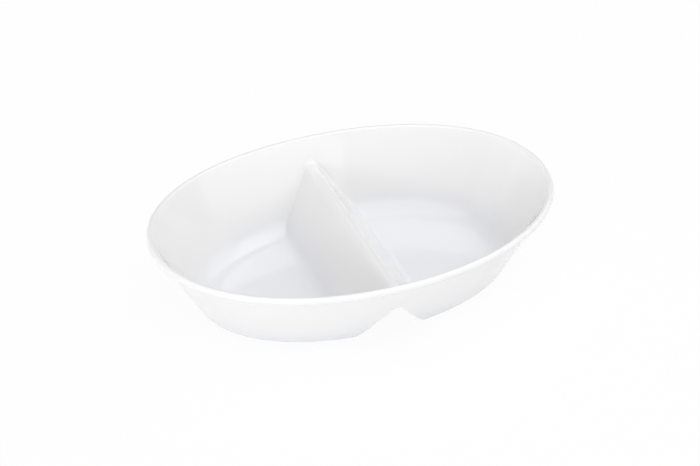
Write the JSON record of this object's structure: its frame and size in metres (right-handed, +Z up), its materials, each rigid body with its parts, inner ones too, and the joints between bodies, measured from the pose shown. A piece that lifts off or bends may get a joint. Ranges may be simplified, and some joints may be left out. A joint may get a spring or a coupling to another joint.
{
  "type": "divided serving bowl",
  "caption": "Oval serving bowl with flared walls, a beaded rim and a folded divider that makes two wells and leaves a tunnel under the base.",
  "frame": {"origin": "centre of the foot rings on the table", "axes": "+X along the bowl through both wells, +Y across it along the divider, +Z up"},
  "size_m": [0.262, 0.179, 0.0584],
  "materials": {
    "glaze": "clear high-gloss glaze over a white body",
    "bisque": "ground and unglazed"
  },
  "bodies": {
    "root": {"rim_bead": "glaze", "left_wall": "glaze", "right_wall": "glaze", "left_floor": "glaze", "right_floor": "glaze", "divider": "glaze", "left_foot_ring": "bisque", "right_foot_ring": "bisque"}
  },
  "joints": []
}
